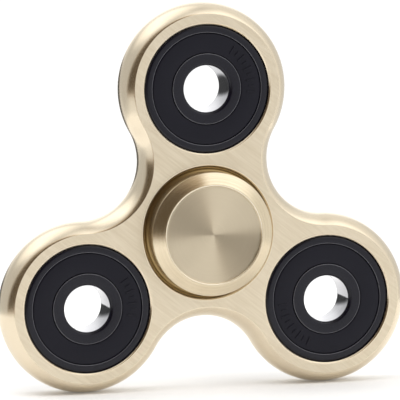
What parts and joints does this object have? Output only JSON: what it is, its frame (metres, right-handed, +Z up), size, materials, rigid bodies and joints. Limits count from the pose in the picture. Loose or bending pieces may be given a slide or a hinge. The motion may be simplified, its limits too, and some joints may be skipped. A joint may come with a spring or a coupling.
{
  "type": "fidget spinner",
  "caption": "Three-lobed fidget spinner: a metal frame with a sealed ball bearing in the hub and in every lobe, turned between two screwed finger caps.",
  "frame": {"origin": "on the spin axis, in the middle of the frame's thickness", "axes": "+Y along the spin axis, from the front cap to the back cap; +Z up through the top lobe; +X to the right seen from the front"},
  "size_m": [0.072, 0.0152, 0.0663],
  "materials": {
    "frame_metal": "champagne anodised, brushed faces and a satin polished rim",
    "cap_metal": "champagne anodised, turned",
    "black_ring": "black oxide faces, ground bright bore",
    "champagne_ring": "champagne coated steel, turned",
    "ball_steel": "polished chrome steel",
    "cage_steel": "pressed steel strip",
    "seal_rubber": "black nitrile rubber, satin"
  },
  "bodies": {
    "frame": {"spinner_frame": "frame_metal", "centre_outer_ring": "champagne_ring", "centre_front_seal": "seal_rubber", "centre_back_seal": "seal_rubber", "top_outer_ring": "black_ring", "top_front_seal": "seal_rubber", "top_back_seal": "seal_rubber", "left_outer_ring": "black_ring", "left_front_seal": "seal_rubber", "left_back_seal": "seal_rubber", "right_outer_ring": "black_ring", "right_front_seal": "seal_rubber", "right_back_seal": "seal_rubber"},
    "hub": {"front_cap": "cap_metal", "back_cap": "cap_metal", "centre_inner_ring": "black_ring"},
    "centre_train": {"centre_balls": "ball_steel", "centre_front_cage": "cage_steel", "centre_back_cage": "cage_steel", "centre_rivets": "cage_steel"},
    "top_core": {"top_inner_ring": "black_ring"},
    "top_train": {"top_balls": "ball_steel", "top_front_cage": "cage_steel", "top_back_cage": "cage_steel", "top_rivets": "cage_steel"},
    "left_core": {"left_inner_ring": "black_ring"},
    "left_train": {"left_balls": "ball_steel", "left_front_cage": "cage_steel", "left_back_cage": "cage_steel", "left_rivets": "cage_steel"},
    "right_core": {"right_inner_ring": "black_ring"},
    "right_train": {"right_balls": "ball_steel", "right_front_cage": "cage_steel", "right_back_cage": "cage_steel", "right_rivets": "cage_steel"}
  },
  "joints": [
    {"name": "hub_spin", "type": "hinge", "parent": "frame", "child": "hub", "pos_m": [0, 0, 0], "axis": [0, 1, 0], "continuous": true},
    {"name": "centre_train_spin", "type": "hinge", "parent": "frame", "child": "centre_train", "pos_m": [0, 0, 0], "axis": [0, 1, 0], "continuous": true},
    {"name": "top_ring_spin", "type": "hinge", "parent": "frame", "child": "top_core", "pos_m": [0, 0, 0.0246], "axis": [0, 1, 0], "continuous": true},
    {"name": "top_train_spin", "type": "hinge", "parent": "frame", "child": "top_train", "pos_m": [0, 0, 0.0246], "axis": [0, 1, 0], "continuous": true},
    {"name": "left_ring_spin", "type": "hinge", "parent": "frame", "child": "left_core", "pos_m": [-0.0213, 0, -0.0123], "axis": [0, 1, 0], "continuous": true},
    {"name": "left_train_spin", "type": "hinge", "parent": "frame", "child": "left_train", "pos_m": [-0.0213, 0, -0.0123], "axis": [0, 1, 0], "continuous": true},
    {"name": "right_ring_spin", "type": "hinge", "parent": "frame", "child": "right_core", "pos_m": [0.0213, 0, -0.0123], "axis": [0, 1, 0], "continuous": true},
    {"name": "right_train_spin", "type": "hinge", "parent": "frame", "child": "right_train", "pos_m": [0.0213, 0, -0.0123], "axis": [0, 1, 0], "continuous": true}
  ],
  "couplings": [
    {"joint": "centre_train_spin", "follows": "hub_spin", "ratio": 0.36767},
    {"joint": "top_train_spin", "follows": "top_ring_spin", "ratio": 0.36767},
    {"joint": "left_train_spin", "follows": "left_ring_spin", "ratio": 0.36767},
    {"joint": "right_train_spin", "follows": "right_ring_spin", "ratio": 0.36767}
  ]
}
